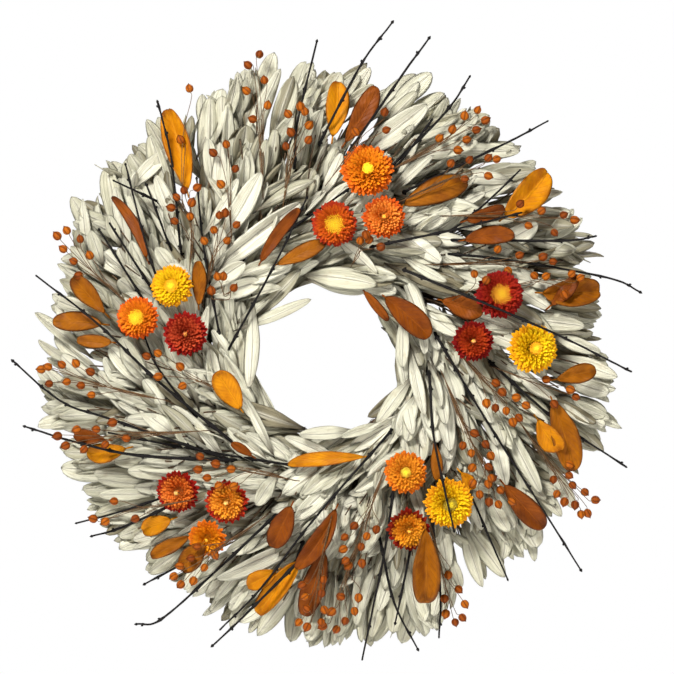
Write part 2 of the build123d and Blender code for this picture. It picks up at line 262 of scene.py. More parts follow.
def blade(root, along, normal, length, width, *, peak, round_off, bend, cup, rows, columns, twist=0.0,
          wave=0.0, thick=0.5 * MM, neck=0.06, sway=0.0, fold=0.0, slim=1.0, crumple=0.0, phase=0.0):
    """A leaf or petal as a closed thin shell. Gives verts, faces and its along/across coordinates."""
    share = 1 - (1 - np.linspace(0, 1, rows)) ** 1.35
    across = np.linspace(-1, 1, columns)
    along = unit(along)
    normal = unit(normal - along * normal.dot(along))
    side = np.cross(along, normal)
    power = math.log(0.5) / math.log(peak)
    outline = np.sin(math.pi * share ** power) ** round_off
    foot = np.clip(share / 0.5, 0, 1)
    outline = outline * (slim + (1 - slim) * foot * foot * (3 - 2 * foot))
    outline = np.maximum(outline, neck * (1 - share)) * width / 2
    outline[-1] = 0.02 * width
    turn = bend * (share - 0.25)
    lean = sway * (share - 0.3)
    steps = np.diff(share, prepend=0)[:, None] * length
    forward = np.cos(turn)[:, None] * (np.cos(lean)[:, None] * along + np.sin(lean)[:, None] * side)
    spine = root + np.cumsum(steps * (forward + np.sin(turn)[:, None] * normal), axis=0)
    roll = twist * (share - 0.2)
    out = np.cos(roll)[:, None] * side + np.sin(roll)[:, None] * normal
    lift = -np.sin(roll)[:, None] * side + np.cos(roll)[:, None] * normal
    reach = outline[:, None] * across[None, :]
    hollow = outline[:, None] * (cup * across[None, :] ** 2 + fold * np.abs(across)[None, :])
    ripple = wave * width * np.sin(share * 11 + width * 3000)[:, None] * across[None, :] ** 2
    rib = -0.05 * outline[:, None] * np.exp(-(across[None, :] / 0.22) ** 2)
    u, v = share[:, None] * 9 + phase, across[None, :] * 2.2
    dents = np.sin(u * 1.7 + v + phase) + 0.7 * np.sin(3 * v - u * 0.8 + 2 * phase)
    dents = dents + 0.5 * np.sin(u * 3.1 - 2 * v)
    ripple = ripple + crumple * width * dents * (1 - 0.5 * share[:, None])
    grid = spine[:, None, :] + reach[:, :, None] * out[:, None, :]
    grid = grid + (hollow + ripple + rib)[:, :, None] * lift[:, None, :]
    facing = np.cross(np.gradient(grid, axis=0), np.gradient(grid, axis=1))
    facing /= np.maximum(1e-12, np.linalg.norm(facing, axis=2, keepdims=True))
    inner = grid[1:-1, 1:-1] - facing[1:-1, 1:-1] * thick
    verts = np.concatenate([grid.reshape(-1, 3), inner.reshape(-1, 3)])
    t = np.broadcast_to(share[:, None], (rows, columns))
    s = np.broadcast_to(across[None, :], (rows, columns))
    t = np.concatenate([t.ravel(), t[1:-1, 1:-1].ravel()])
    s = np.concatenate([s.ravel(), s[1:-1, 1:-1].ravel()])
    return verts, shell_faces(rows, columns), t, s


# ---- materials

class Nodes:
    """A short way to write a material's node tree."""

    def __init__(self, name, roughness, gloss=0.3):
        self.material = bpy.data.materials.new(name)
        self.material.use_nodes = True
        self.tree = self.material.node_tree
        self.shader = self.tree.nodes["Principled BSDF"]
        self.shader.inputs["Roughness"].default_value = roughness
        self.shader.inputs["Specular IOR Level"].default_value = gloss

    def add(self, kind, **settings):
        """A new node."""
        node = self.tree.nodes.new(kind)
        for key, value in settings.items():
            setattr(node, key, value)
        return node

    def plug(self, value, socket):
        """Links an output to a socket, or sets a plain value on it."""
        if isinstance(value, bpy.types.NodeSocket):
            self.tree.links.new(value, socket)
        else:
            socket.default_value = value

    def attribute(self, name):
        return self.add("ShaderNodeAttribute", attribute_name=name).outputs["Fac"]

    def math(self, operation, a, b=0.0):
        node = self.add("ShaderNodeMath", operation=operation)
        self.plug(a, node.inputs[0])
        self.plug(b, node.inputs[1])
        return node.outputs[0]

    def times(self, a, b):
        return self.math("MULTIPLY", a, b)

    def off_middle(self):
        """Distance across a leaf from its middle line, up to one at its edge."""
        return self.math("ABSOLUTE", self.attribute("across"))

    def noise(self, scale, detail, vector=None):
        node = self.add("ShaderNodeTexNoise")
        node.inputs["Scale"].default_value = scale
        node.inputs["Detail"].default_value = detail
        node.inputs["Roughness"].default_value = 0.55
        if vector is None:
            vector = self.add("ShaderNodeTexCoord").outputs["Object"]
        self.plug(vector, node.inputs["Vector"])
        return node.outputs["Fac"]

    def vector(self, x, y, z):
        node = self.add("ShaderNodeCombineXYZ")
        self.plug(x, node.inputs[0])
        self.plug(y, node.inputs[1])
        self.plug(z, node.inputs[2])
        return node.outputs[0]

    def ramp(self, value, stops):
        node = self.add("ShaderNodeValToRGB")
        elements = node.color_ramp.elements
        while len(elements) < len(stops):
            elements.new(0.5)
        for element, (place, colour) in zip(elements, stops):
            element.position = place
            element.color = (*colour, 1)
        self.plug(value, node.inputs[0])
        return node.outputs[0]

    def span(self, value, low, high, to_low=0.0, to_high=1.0):
        """A value carried from one range to another, and kept inside it."""
        node = self.add("ShaderNodeMapRange")
        self.plug(value, node.inputs["Value"])
        node.inputs["From Min"].default_value = low
        node.inputs["From Max"].default_value = high
        node.inputs["To Min"].default_value = to_low
        node.inputs["To Max"].default_value = to_high
        return node.outputs[0]

    def mix(self, factor, a, b):
        node = self.add("ShaderNodeMix", data_type="RGBA")
        self.plug(factor, node.inputs["Factor"])
        self.plug(a if isinstance(a, bpy.types.NodeSocket) else (*a, 1), node.inputs[6])
        self.plug(b if isinstance(b, bpy.types.NodeSocket) else (*b, 1), node.inputs[7])
        return node.outputs[2]

    def finish(self, colour, height=None, distance=0.0005, roughness=None):
        """Plugs the colour and the bump into the shader, and gives the material."""
        self.plug(colour, self.shader.inputs["Base Color"])
        if roughness is not None:
            self.plug(roughness, self.shader.inputs["Roughness"])
        if height is not None:
            bump = self.add("ShaderNodeBump")
            bump.inputs["Distance"].default_value = distance
            bump.inputs["Strength"].default_value = 1.0
            self.plug(height, bump.inputs["Height"])
            self.plug(bump.outputs[0], self.shader.inputs["Normal"])
        return self.material


def leaf_grain(nodes, streaks, stretch=3.0):
    """Fine wrinkles along a leaf, different on each one."""
    seed = nodes.times(nodes.attribute("tint"), 61.0)
    run = nodes.times(nodes.attribute("along"), stretch)
    cross = nodes.times(nodes.attribute("across"), streaks)
    return nodes.noise(1.0, 4.0, nodes.vector(run, cross, seed))


def midrib(nodes, half_width):
    """One along the middle vein, nought elsewhere."""
    return nodes.span(nodes.off_middle(), half_width, half_width * 2.2, 1.0, 0.0)


def grey_leaf_material():
    """Dry grey-white leaf, browner in a few blotches, with its foot painted near black: partly its brown
    base, partly painted shade where it goes in under the other leaves.
    """
    nodes = Nodes("grey_leaf", 0.62)
    streak = leaf_grain(nodes, 7.0)
    fine = leaf_grain(nodes, 20.0, 2.0)
    blotch = nodes.noise(90.0, 3.0)
    tint = nodes.attribute("tint")
    # Low tints, which the deeper layers get from their painted shade, run down to a dark brown.
    base = nodes.ramp(tint, [(0.0, (0.20, 0.165, 0.09)), (0.3, (0.51, 0.485, 0.345)),
                             (0.65, (0.70, 0.675, 0.515)), (1.0, (0.79, 0.755, 0.59))])
    shade = nodes.span(streak, 0.3, 0.75)
    colour = nodes.mix(nodes.times(shade, 0.34), base, (0.28, 0.27, 0.195))
    beside = nodes.span(nodes.off_middle(), 0.05, 0.4, 0.45, 0.0)
    colour = nodes.mix(beside, colour, (0.84, 0.80, 0.66))
    # Painted shade: the foot runs to near black, partly the leaf's brown base and partly shade where it goes
    # under the other leaves.
    foot = nodes.span(nodes.attribute("along"), 0.06, 0.42, 0.97, 0.0)
    colour = nodes.mix(foot, colour, (0.055, 0.036, 0.016))
    age = nodes.span(blotch, 0.60, 0.78, 0.0, 0.55)
    colour = nodes.mix(age, colour, (0.42, 0.33, 0.20))
    colour = nodes.mix(nodes.span(fine, 0.54, 0.68, 0.0, 0.6), colour, (0.20, 0.18, 0.12))
    colour = nodes.mix(nodes.times(midrib(nodes, 0.03), 0.6), colour, (0.16, 0.14, 0.09))
    height = nodes.math("ADD", streak, nodes.times(midrib(nodes, 0.05), -0.4))
    height = nodes.math("ADD", height, nodes.times(fine, 0.6))
    return nodes.finish(colour, height, 0.0018)


def preserved_leaf_material(name, pale, deep, edge):
    """Preserved leaf with slanting veins, a pale midrib, and a darker rim and tip."""
    nodes = Nodes(name, 0.42, 0.07)
    streak = leaf_grain(nodes, 5.0)
    off = nodes.off_middle()
    slant = nodes.math("SUBTRACT", nodes.times(nodes.attribute("along"), 60.0), nodes.times(off, 16.0))
    vein = nodes.span(nodes.math("SINE", slant), 0.80, 1.0)
    blotch = nodes.noise(70.0, 4.0)
    base = nodes.mix(nodes.span(blotch, 0.35, 0.68), pale, deep)
    colour = nodes.mix(nodes.times(vein, 0.35), base, deep)
    colour = nodes.mix(nodes.times(midrib(nodes, 0.04), 0.8), colour, pale)
    rim = nodes.times(nodes.span(off, 0.72, 1.0), nodes.span(streak, 0.3, 0.6))
    colour = nodes.mix(rim, colour, edge)
    tip = nodes.times(nodes.span(nodes.attribute("along"), 0.78, 1.0), nodes.span(blotch, 0.42, 0.6))
    colour = nodes.mix(tip, colour, edge)
    height = nodes.math("SUBTRACT", nodes.times(streak, 0.6), nodes.times(vein, 0.4))
    height = nodes.math("SUBTRACT", height, nodes.times(midrib(nodes, 0.04), 0.8))
    return nodes.finish(colour, height, 0.0006, nodes.span(streak, 0.3, 0.7, 0.36, 0.55))


def bark_material(name, dark, light, grain, roughness=0.7, gloss=0.2):
    """Bark in two tones."""
    nodes = Nodes(name, roughness, gloss)
    fine = nodes.noise(grain, 5.0)
    broad = nodes.noise(grain / 7, 3.0)
    colour = nodes.mix(nodes.span(fine, 0.45, 0.75), dark, light)
    colour = nodes.mix(nodes.span(broad, 0.55, 0.8, 0.0, 0.6), colour, light)
    height = nodes.math("ADD", fine, broad)
    return nodes.finish(colour, height, 0.0006)


def petal_material(name, foot, body, tip, rim):
    """Papery bracts: foot, body and tip colours run along each, and the outer ones take the rim colour. Each
    bract's foot gets painted shade where it lies under the next ones, and its side edges are darker too.
    """
    # A darker tone of the rim colour, for the painted shade at the bract feet and for the darker side edges.
    deep = tuple(value * share for value, share in zip(rim, (0.62, 0.42, 0.5)))
    nodes = Nodes(name, 0.5, 0.06)
    streak = leaf_grain(nodes, 12.0, 2.0)
    along = nodes.attribute("along")
    colour = nodes.ramp(along, [(0.12, foot), (0.5, body), (0.95, tip)])
    outer = nodes.times(nodes.attribute("outer"), nodes.span(along, 0.1, 0.6))
    colour = nodes.mix(outer, colour, rim)
    colour = nodes.mix(nodes.span(streak, 0.45, 0.8, 0.0, 0.45), colour, rim)
    light = nodes.times(nodes.attribute("tint"), nodes.math("SUBTRACT", 0.35, nodes.times(outer, 0.3)))
    colour = nodes.mix(light, colour, body)
    # Painted shade at the foot of each bract, under the bracts in front of it.
    colour = nodes.mix(nodes.span(along, 0.2, 0.5, 0.7, 0.0), colour, deep)
    colour = nodes.mix(nodes.span(nodes.off_middle(), 0.65, 1.0, 0.0, 0.5), colour, deep)
    return nodes.finish(colour, streak, 0.0004)


def grain_material(name, dark, light, scale, roughness, metallic=0.0, distance=0.0003):
    """A plain surface with a fine grain: wire and glue."""
    nodes = Nodes(name, roughness)
    nodes.shader.inputs["Metallic"].default_value = metallic
    grain = nodes.noise(scale, 4.0)
    return nodes.finish(nodes.mix(nodes.span(grain, 0.35, 0.7), dark, light), grain, distance)


# ---- grey leaf bunches

LEAF_LENGTH = 74 * MM
LEAF_WIDTH = 17 * MM
# A bunch's front, middle and rear leaves: how many, how deep under the front, and how much darker, which is
# painted shade for the leaves that lie deeper in the bunch.
LAYERS = ((38, 0.0, 0.03), (30, 12 * MM, 0.26), (28, None, 0.10))
# Leaves that share a lean and a tone, and how far they spread to each side of their bunch.
SPRAY = 4
FAN = 0.62
STEMS = 34
# A leaf's turn away from straight out, in radians, by its share of the way from the ring's axis.
SWIRL_PLACES = [0.28, 0.45, 0.7, 1.0]
SWIRL_TURNS = [1.35, 0.95, 0.62, 0.42]
# How far out the dome under the top leaves reaches.
TOP_REACH = 280 * MM
# Half the width that is kept free for the hanging loop, and the depth of what passes in front of it.
LOOP_ROOM = 24 * MM
LOOP_FRONT = -16 * MM
# The largest extent of a solid that is a pod and not a stem, in a flax node.
POD_LARGEST = 12 * MM


def dome_depth(radius, outer):
    """Depth of the foliage's front at a distance from the ring's axis, as in the CAD bunches."""
    peak = 0.5 * outer
    run = outer - peak if radius > peak else peak
    share = min(1.0, abs(radius - peak) / run)
    return DOME_BACK - 8 * MM + (DOME_FRONT - DOME_BACK + 8 * MM) * (1 - share ** 2)


def bunch_line(name):
    """The middles of a bunch's inner and outer ends, and its reach."""
    points = node_points(name)
    radii = np.hypot(points[:, 0] - CENTRE[0], points[:, 2] - CENTRE[2])
    inner = points[radii < radii.min() + 6 * MM].mean(0)
    outer = points[radii > radii.max() - 25 * MM].mean(0)
    return inner, outer, radii.max()


# The leaves that stand out on top, in mm in the front view from the ring's centre: where each shows from, its
# tip, its width, and how pale it is.
TOP_LEAVES = [
    (-112, 175, -112, 252, 21, 0.45), (-92, 181, -101, 241, 15, 0.6), (-109, 177, -112, 211, 15, 0.55),
    (-75, 205, -44, 280, 17, 0.8), (-48, 217, -32, 273, 15, 0.1), (-23, 233, -3, 270, 14, 0.3),
    (0, 248, 14, 277, 17, 0.5), (-108, 130, -79, 171, 14, 0.75), (-92, 125, -60, 178, 20, 0.85),
    (-94, 95, -26, 153, 23, 1), (-102, 96, -98, 126, 14, 0.9), (-138, 96, -150, 128, 15, 0.95),
    (-148, 86, -162, 107, 15, 0.6), (-169, 65, -188, 96, 18, 0.75), (-192, 109, -202, 165, 14, 0.85),
    (-175, 127, -195, 175, 12, 0.6), (-173, 173, -187, 199, 16, 0.4), (-178, 174, -150, 204, 15, 0.85),
    (-146, 132, -153, 148, 14, 0.55), (-117, 132, -118, 165, 16, 0.6), (-101, 75, -76, 96, 16, 0.8),
    (-98, 63, -61, 73, 17, 0.9), (-65, 34, -11, 54, 11, 0.5), (-73, 42, -50, 59, 9, 0.5),
    (-70, 36, -68, -31, 14, 0.7), (-242, 13, -281, 44, 13, 0.5), (-250, -2, -279, 17, 10, 0.5),
    (-223, 82, -247, 107, 13, 0.5), (-234, 102, -240, 125, 11, 0.2), (-219, 102, -226, 124, 12, 0.5),
    (-202, 119, -210, 138, 12, 0.4), (-229, 61, -256, 77, 13, 0.25), (-184, -15, -206, 12, 18, 0.75),
    (-92, -2, -109, 28, 16, 0.7), (58, 227, 91, 255, 13, 0.35), (45, 204, 99, 244, 22, 0.85),
    (85, 204, 155, 221, 22, 0.6), (95, 196, 150, 204, 16, 0.5), (124, 200, 189, 199, 16, 0.55),
    (128, 177, 178, 170, 14, 0.85), (141, 155, 182, 167, 15, 0.7), (182, 165, 214, 179, 14, 0.6),
    (220, 123, 241, 144, 12, 0.5), (224, 119, 250, 134, 9, 0.5), (174, 113, 207, 127, 20, 0.8),
    (76, 160, 100, 160, 14, 1), (80, 132, 120, 144, 14, 0.85), (83, 117, 137, 113, 16, 1),
    (85, 111, 112, 90, 16, 0.95), (103, 104, 139, 82, 13, 0.95), (22, 105, 51, 80, 18, 1),
    (37, 73, 70, 63, 17, 0.8), (0, 72, 40, 66, 15, 0.6), (3, 167, 19, 196, 13, 1),
    (170, 75, 216, 57, 18, 0.9), (174, 84, 216, 69, 14, 0.9), (189, 65, 216, 44, 14, 0.7),
    (203, 36, 251, 32, 18, 0.5), (232, 17, 266, 5, 14, 0.6), (75, 30, 73, -10, 12, 0.6),
    (99, 40, 110, 7, 14, 1), (18, 265, 33, 277, 8, 0.4), (26, 248, 48, 263, 12, 0.4),
    (-109, -85, -146, -43, 18, 1), (-130, -85, -151, -50, 14, 0.35), (-154, -67, -178, -48, 17, 1),
    (-196, -33, -219, -27, 16, 0.6), (-219, -29, -256, -19, 14, 0.15), (-244, -52, -267, -53, 12, 0.5),
    (-242, -60, -266, -69, 11, 0.5), (-159, -42, -173, -19, 16, 0.7), (-105, -25, -111, 10, 13, 0.8),
    (-119, -21, -142, 2, 15, 0.7), (-65, -60, -87, -30, 10, 1), (-57, -77, -75, -36, 11, 0.8),
    (-67, -90, -94, -65, 13, 0.8), (-36, -96, -57, -77, 14, 1), (-1, -92, -38, -73, 12, 0.9),
    (-119, -96, -159, -92, 14, 0.85), (-167, -96, -204, -97, 18, 0.5), (-188, -113, -223, -110, 14, 0.5),
    (-175, -121, -221, -119, 14, 0.5), (-175, -131, -219, -131, 12, 0.5), (-36, -182, -105, -212, 19, 0.85),
    (-84, -208, -107, -234, 12, 0.5), (-75, -217, -93, -243, 13, 0.5), (-1, -104, -40, -131, 20, 0.7),
    (4, -123, -29, -155, 17, 0.7), (-53, -121, -69, -142, 15, 0.5), (-115, -187, -135, -225, 14, 0.5),
    (-148, -192, -171, -208, 14, 0.4), (-146, -171, -169, -183, 12, 0.5), (-71, -175, -96, -187, 16, 0.6),
    (70, -60, 21, -89, 17, 1), (74, -31, 49, -63, 14, 0.5), (43, -67, 14, -75, 9, 0.6),
    (93, -63, 101, -94, 13, 1), (112, -36, 122, -90, 17, 0.95), (120, -21, 130, -50, 20, 0.7),
    (141, -19, 160, -65, 15, 0.8), (160, -15, 180, -60, 20, 1), (178, -38, 217, -65, 14, 1),
    (189, -13, 226, -38, 17, 0.9), (232, -22, 282, -27, 16, 0.8), (241, -4, 283, -19, 16, 0.8),
    (232, -44, 275, -60, 17, 0.4), (178, -71, 205, -131, 16, 0.5), (166, -85, 172, -124, 16, 0.95),
    (145, -104, 151, -148, 13, 0.5), (162, -142, 176, -169, 14, 0.5), (203, -121, 228, -154, 14, 0.5),
    (222, -113, 241, -146, 14, 0.5), (141, -167, 174, -212, 16, 0.4), (137, -175, 151, -222, 14, 0.5),
    (112, -165, 118, -204, 16, 0.6), (124, -200, 130, -223, 10, 0.5), (18, -142, 1, -187, 22, 1),
    (74, -181, 64, -223, 16, 0.6), (64, -208, 51, -244, 15, 0.6), (37, -206, 26, -258, 13, 0.5),
    (45, -214, 36, -246, 13, 0.5), (8, -217, 0, -252, 13, 0.5), (64, -179, 58, -198, 16, 0.9),
    (72, 12, 78, -29, 12, 0.7), (85, -8, 93, -58, 12, 0.9), (78, -42, 85, -77, 12, 0.9),
    (103, -19, 111, -50, 10, 0.8),
    (-132, -103, -182, -104, 17, 0.6), (-142, -112, -190, -107, 15, 0.45), (-150, -100, -176, -97, 14, 0.7),
    (14, -72, -28, -76, 13, 0.7),
]


def accent_points():
    """Points along the twigs, preserved leaves, pods and heads, with the room that each needs round it."""
    spots = []
    for name in NODES:
        if name.startswith("black_twigs"):
            for part in loose_parts(name):
                line = smooth_line(polyline_of(part), 30)
                spots += [(*point, 2.5 * MM) for point in line]
        elif "_leaves_" in name:
            for part in loose_parts(name):
                middle, axes = main_axes(part)
                run = np.ptp((part - middle) @ axes[0])
                room = 0.45 * np.ptp((part - middle) @ axes[1])
                spots += [(*(middle + axes[0] * run * share), room) for share in (-0.4, -0.2, 0, 0.2, 0.4)]
        elif name.startswith("flax_sprigs"):
            parts = [part for part in loose_parts(name) if largest_side(part) <= POD_LARGEST]
            spots += [(*part.mean(0), 4 * MM) for part in parts]
        elif name.startswith("strawflower"):
            points = node_points(name)
            middle = points.mean(0)
            spots.append((middle[0], points[:, 1].max() - 2 * MM, middle[2], 17 * MM))
    return np.array(spots)


ACCENTS = accent_points()


def under_accents(tip, heading, length, width, depth):
    """A depth for a leaf's tip that keeps it behind the accents it crosses, and whether it lies flat."""
    run = tip - np.outer(np.array([0.0, 0.25, 0.5, 0.75]), heading) * length
    gaps = np.hypot(run[:, None, 0] - ACCENTS[None, :, 0], run[:, None, 2] - ACCENTS[None, :, 2])
    near = (gaps < ACCENTS[None, :, 3] + width / 2).any(axis=0)
    if not near.any():
        return depth, False
    lowered = max(depth, min(depth + 14 * MM, ACCENTS[near, 1].max() + 8.5 * MM))
    wide = near & (ACCENTS[:, 3] > 5 * MM)
    if wide.any():
        return max(lowered, ACCENTS[wide, 1].max() + 4 * MM), True
    return lowered, lowered > depth


BUNCH_LINES = {name: bunch_line(name) for name in nodes_named("grey_leaf_bunch")}


def lay_leaf(pile, rng, tip, heading, lift, length, width, tint, calm):
    """One grey leaf whose tip is at a front-view place; it rises from its root towards its tip."""
    along = unit(heading + FRONT * lift)
    facing = unit(FRONT + 0.42 * rng.normal(size=3))
    root = tip - along * length
    verts, faces, t, s = blade(
        root, along, facing, length, width,
        peak=rng.uniform(0.54, 0.68), round_off=rng.uniform(0.42, 0.62),
        bend=rng.normal(0.0, 0.35) * calm, cup=rng.normal(0.0, 0.35), twist=rng.normal(0, 0.6) * calm,
        wave=rng.uniform(0.0, 0.05), rows=12, columns=7, sway=rng.normal(0, 0.16),
        fold=rng.choice([0.0, 0.15, 0.35, 0.6, -0.3]), slim=rng.uniform(0.3, 0.6),
        crumple=rng.uniform(0.01, 0.035), phase=rng.uniform(0, 20))
    pile.add(verts, faces, along=t, across=s, tint=tint)


def turned(vector, angle):
    """A vector turned clockwise in the front view."""
    c, s = math.cos(angle), math.sin(angle)
    return np.array([vector[0] * c + vector[2] * s, vector[1], -vector[0] * s + vector[2] * c])


def is_nearest(name, spot):
    """Whether a front-view spot is nearer to this bunch's middle line than to any other's."""
    gaps = {}
    for other, (inner, outer, _) in BUNCH_LINES.items():
        share = np.clip(np.dot(spot - inner, outer - inner) / np.dot(outer - inner, outer - inner), 0, 1)
        gaps[other] = np.linalg.norm((spot - inner - (outer - inner) * share)[[0, 2]])
    return min(gaps, key=gaps.get) == name


def lay_top_leaf(pile, rng, start, tip, width, tint):
    """One leaf in plain view, that shows from its start to its tip."""
    heading = tip - start
    length = np.linalg.norm(heading) * 1.3 + 8 * MM
    heading = unit(heading)
    root = tip - heading * length
    depth = dome_depth(ring_radius(tip), TOP_REACH) - 2 * MM
    front, _ = under_accents(tip, heading, length * 0.7, width, depth)
    root[1] = max(dome_depth(ring_radius(root), TOP_REACH), front) + 9 * MM
    tip = np.array([tip[0], front, tip[2]])
    verts, faces, t, s = blade(
        root, tip - root, unit(FRONT + 0.22 * rng.normal(size=3)), length, width * 1.08,
        peak=rng.uniform(0.52, 0.66), round_off=rng.uniform(0.42, 0.56), bend=rng.normal(0.0, 0.2),
        cup=rng.normal(0.1, 0.3), twist=rng.normal(0, 0.35), wave=rng.uniform(0.0, 0.04), rows=16, columns=9,
        sway=rng.normal(0, 0.10), fold=rng.choice([0.0, 0.2, 0.4, -0.25]), slim=rng.uniform(0.4, 0.7),
        crumple=rng.uniform(0.006, 0.02), phase=rng.uniform(0, 20))
    pile.add(verts, faces, along=t, across=s, tint=tint)


def bunch_axes(name):
    """A bunch's inner end, its flat line to the outer end, the direction across it, and its reach."""
    inner, outer, reach = BUNCH_LINES[name]
    line = outer - inner
    line[1] = 0
    return inner, line, unit(np.cross(line, FRONT)), reach


def lay_layer(pile, rng, name, count, sunk, painted_shade):
    """One layer of a bunch's leaves, in sprays. The rear layer is the one without a depth under the front."""
    inner, line, cross, reach = bunch_axes(name)
    for index in range(count):
        if index % SPRAY == 0:
            spray_turn = rng.normal(0, 0.20)
            spray_tint = rng.beta(2.2, 1.6)
            spray_fan = rng.uniform(-FAN, FAN)
        share = ((index + rng.uniform(0, 1)) / count) ** 0.72
        share = 0.40 + 0.60 * share if sunk is None else share
        fan = np.clip(spray_fan + rng.uniform(-0.26, 0.26), -FAN, FAN)
        half = math.pi * (0.30 + 0.70 * share) * reach / len(BUNCH_LINES)
        place = inner + line * (0.10 + 0.90 * share) + cross * fan * 2 * half
        radius = ring_radius(place)
        stretch = rng.normal(1.0, 0.025)
        if share > 0.85:
            place = CENTRE + (place - CENTRE) * (reach * stretch / radius)
        radius = ring_radius(place)
        outward = unit((place - CENTRE) * np.array([1, 0, 1]))
        lean = np.interp(radius / reach, SWIRL_PLACES, SWIRL_TURNS)
        heading = turned(outward, lean + spray_turn + rng.normal(0, 0.10))
        size = rng.choice([0.72, 0.95, 1.2])
        length = LEAF_LENGTH * (0.5 + 0.5 * size) * rng.normal(1.0, 0.12)
        width = LEAF_WIDTH * size * rng.normal(1.0, 0.12)
        if sunk is None:
            depth = np.interp(radius / reach, [0.5, 1.0], [-14, -20]) * MM + rng.uniform(-12, 4) * MM
            lift = rng.uniform(-0.25, 0.05)
            is_flat = False
        else:
            depth = dome_depth(radius, reach * 1.04) + sunk + rng.uniform(-2, 7) * MM
            lift = rng.uniform(0.10, 0.42)
            depth, is_flat = under_accents(place, heading, length, width, depth)
        calm = 0.35 if is_flat else 1.0
        place = np.array([place[0], depth, place[2]])
        # The leaf's tone is random by spray and by leaf, and lowered by its layer's painted shade.
        tint = np.clip(spray_tint - painted_shade + rng.normal(0, 0.15), 0, 1)
        lay_leaf(pile, rng, place, heading, lift, length, width, tint, calm)


def add_leaf_stems(pile, rng, name):
    """The dry stems that run from the canes up into a bunch."""
    inner, line, cross, reach = bunch_axes(name)
    for _ in range(STEMS):
        fan = rng.uniform(-0.5, 0.5)
        start = inner + line * 0.07 + cross * rng.uniform(-34, 10) * MM
        start = CENTRE + (start - CENTRE) * rng.uniform(84, 104) * MM / ring_radius(start)
        start[1] = rng.uniform(-24, -8) * MM
        share = rng.uniform(0.35, 0.92)
        end = inner + line * share + cross * fan * 110 * MM * share
        end[1] = dome_depth(ring_radius(end), reach) + rng.uniform(5, 26) * MM
        middle = (start + end) / 2 + cross * rng.normal(0, 7) * MM
        path = smooth_line([start, middle, end], 9)
        at_loop = (np.abs(path[:, 0] - CENTRE[0]) < LOOP_ROOM) & (path[:, 2] > CENTRE[2] + 70 * MM)
        path[at_loop, 1] = np.minimum(path[at_loop, 1], LOOP_FRONT)
        pile.add(*tube(path, np.linspace(1.2, 0.7, 9) * MM, 6))


def make_bunch(name, leaf_material, stem_material, seed):
    """One bunch: three layers of loose leaves, the leaves on top of them, and the stems behind."""
    rng = np.random.default_rng(seed)
    pile, stems = Pile(), Pile()
    for count, sunk, painted_shade in LAYERS:
        lay_layer(pile, rng, name, count, sunk, painted_shade)
    for x, z, tip_x, tip_z, width, tint in TOP_LEAVES:
        start = CENTRE + np.array([x, 0, z]) * MM
        tip = CENTRE + np.array([tip_x, 0, tip_z]) * MM
        if is_nearest(name, (start + tip) / 2):
            lay_top_leaf(pile, rng, start, tip, width * MM, tint)
    add_leaf_stems(stems, rng, name)
    piece = pile.build(f"leaves_{name[-2:]}", leaf_material)
    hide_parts(name)
    stalks = stems.build(f"leaf_stems_{name[-2:]}", stem_material)


# ---- preserved leaves

def make_preserved(name, material, seed):
    """The preserved leaves of one tone and side, each on a short stalk."""
    rng = np.random.default_rng(seed)
    pile = Pile()
    for part in loose_parts(name):
        middle, axes = main_axes(part)
        run = (part - middle) @ axes[0]
        length = run.max() - run.min()
        cross = (part - middle) @ axes[1]
        width = cross.max() - cross.min()
        along = axes[0] * np.sign((part.mean(0) - middle) @ axes[0] or 1)
        facing = towards_front(axes[2])
        root = middle - along * length / 2
        verts, faces, t, s = blade(
            root, along, facing, length * 1.02, width * 1.04, peak=rng.uniform(0.52, 0.62),
            round_off=rng.uniform(0.34, 0.48), bend=rng.normal(0.1, 0.3), cup=rng.uniform(-0.2, 0.5),
            twist=rng.normal(0, 0.35), wave=rng.uniform(0.015, 0.06), rows=22, columns=11, thick=0.7 * MM,
            sway=rng.normal(0, 0.2), fold=rng.choice([0.0, 0.2, 0.5]), slim=rng.uniform(0.72, 0.98),
            crumple=rng.uniform(0.015, 0.04), phase=rng.uniform(0, 20), neck=0.08)
        pile.add(verts, faces, along=t, across=s, tint=rng.uniform(0, 1))
        stalk = smooth_line([root - along * 4 * MM - facing * 9 * MM, root - along * 1 * MM - facing * 2 * MM,
                             root + along * 4 * MM], 6)
        pile.add(*tube(stalk, np.linspace(0.9, 0.7, 6) * MM, 6), along=0.0, across=0.0, tint=0.5)
    piece = pile.build(f"{name}_set", material)
    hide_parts(name)


# ---- black twigs

TWIG_ROOT = 1.7 * MM
TWIG_TIP = 0.85 * MM
SUNK = np.array([0.0, 18.0, 0.0]) * MM


def add_bud(pile, point, direction, size):
    """A small pointed bud."""
    line = [point - direction * size * 0.3, point + direction * size * 0.5,
            point + direction * size * 1.3, point + direction * size * 2.1]
    pile.add(*tube(smooth_line(line, 7), np.array([0.5, 0.9, 1.0, 0.95, 0.7, 0.4, 0.1]) * size, 7))


